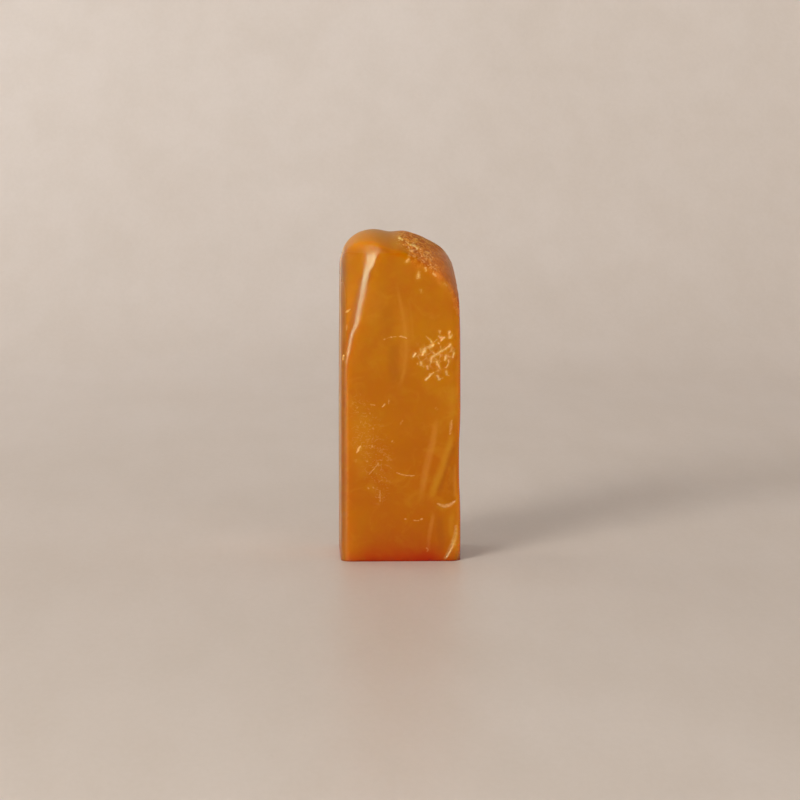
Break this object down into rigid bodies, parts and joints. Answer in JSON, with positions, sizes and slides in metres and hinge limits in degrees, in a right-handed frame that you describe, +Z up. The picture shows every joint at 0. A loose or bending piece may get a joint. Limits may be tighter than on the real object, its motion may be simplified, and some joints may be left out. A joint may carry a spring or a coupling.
{
  "type": "seal stamp",
  "caption": "Square-faced seal stamp: a polished block of honey-coloured stone with a domed boulder top, whose foot is carved with a key fret and stained with vermilion paste.",
  "frame": {"origin": "centre of the carved face, on the surface that the stamp stands on", "axes": "+Z up the length of the stone, -Y towards the viewer, +X to the right of the front face"},
  "size_m": [0.025, 0.025, 0.0683],
  "materials": {
    "seal_stone": "translucent honey-orange stone, waxed and polished to a gloss, with a rough natural rind at one shoulder",
    "vermilion_paste": "dried cinnabar-red oil paste, matt"
  },
  "bodies": {
    "root": {"seal_stone": "seal_stone", "seal_paste": "vermilion_paste"}
  },
  "joints": []
}
